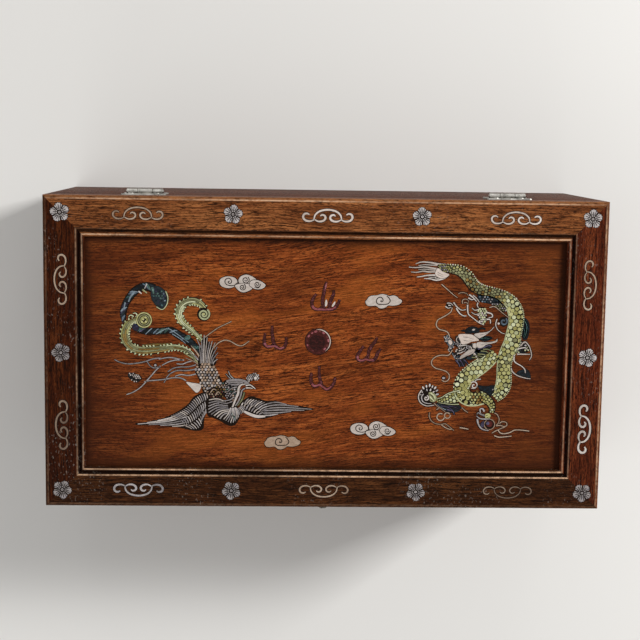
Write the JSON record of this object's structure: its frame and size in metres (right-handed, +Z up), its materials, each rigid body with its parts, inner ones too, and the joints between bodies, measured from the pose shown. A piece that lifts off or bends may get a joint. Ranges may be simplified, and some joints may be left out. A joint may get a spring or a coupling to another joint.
{
  "type": "inlaid wooden box",
  "caption": "Rectangular hinged hardwood box with a framed lid, shell inlay of a dragon and a phoenix, surface hinges at the back and a hook latch at the front.",
  "frame": {"origin": "middle of the flat underside of the box", "axes": "+X along the long side, towards the right seen from the front; +Y from the latch side to the hinge side; +Z up through the lid"},
  "size_m": [0.38, 0.2207, 0.155],
  "materials": {
    "rosewood": "dark red-brown hardwood, rubbed to a soft gloss",
    "panel_wood": "orange-brown hardwood with dark straight grain, soft gloss",
    "lining_wood": "plain planed hardwood",
    "white_shell": "polished white shell with dark engraved lines",
    "green_shell": "polished yellow-green shell with dark engraved scales",
    "red_shell": "polished dark purple-red shell",
    "dark_shell": "polished blue-green shell",
    "white_metal": "silvery white metal, slightly dull"
  },
  "bodies": {
    "box_body": {"body_wall_front": "rosewood", "body_wall_back": "rosewood", "body_wall_left": "rosewood", "body_wall_right": "rosewood", "bottom_panel": "lining_wood", "left_hinge_body_leaf": "white_metal", "right_hinge_body_leaf": "white_metal", "left_hinge_pin": "white_metal", "right_hinge_pin": "white_metal", "latch_body_post": "white_metal"},
    "lid": {"lid_wall_front": "rosewood", "lid_wall_back": "rosewood", "lid_wall_left": "rosewood", "lid_wall_right": "rosewood", "lid_frame_front": "rosewood", "lid_frame_back": "rosewood", "lid_frame_left": "rosewood", "lid_frame_right": "rosewood", "lid_panel": "panel_wood", "left_hinge_lid_leaf": "white_metal", "right_hinge_lid_leaf": "white_metal", "latch_lid_post": "white_metal", "border_flower_back_1": "white_shell", "border_flower_back_2": "white_shell", "border_flower_back_3": "white_shell", "border_flower_back_4": "white_shell", "border_flower_front_1": "white_shell", "border_flower_front_2": "white_shell", "border_flower_front_3": "white_shell", "border_flower_front_4": "white_shell", "border_flower_left": "white_shell", "border_flower_right": "white_shell", "border_scroll_back_1": "white_shell", "border_scroll_back_2": "white_shell", "border_scroll_back_3": "white_shell", "border_scroll_front_1": "white_shell", "border_scroll_front_2": "white_shell", "border_scroll_front_3": "white_shell", "border_scroll_left_1": "white_shell", "border_scroll_left_2": "white_shell", "border_scroll_right_1": "white_shell", "border_scroll_right_2": "white_shell", "cloud_back_left": "white_shell", "cloud_back_right": "white_shell", "cloud_front_left": "white_shell", "cloud_front_right": "white_shell", "flame_back": "red_shell", "flame_left": "red_shell", "flame_right": "red_shell", "flame_front": "red_shell", "pearl": "red_shell", "dragon_body": "green_shell", "dragon_head": "white_shell", "dragon_tail_fin": "white_shell", "phoenix_bird": "white_shell", "phoenix_low_plume": "green_shell", "phoenix_high_plume": "green_shell", "phoenix_dark_plume_root": "dark_shell", "phoenix_dark_plume_tip": "dark_shell"},
    "hook": {"latch_hook": "white_metal"}
  },
  "joints": [
    {"name": "lid_hinge", "type": "hinge", "parent": "box_body", "child": "lid", "pos_m": [0, 0.1081, 0.131], "axis": [-1, 0, 0], "range_deg": [0, 180]},
    {"name": "latch_pivot", "type": "hinge", "parent": "box_body", "child": "hook", "pos_m": [0, -0.1081, 0.122], "axis": [0, -1, 0], "range_deg": [0, 180]}
  ]
}
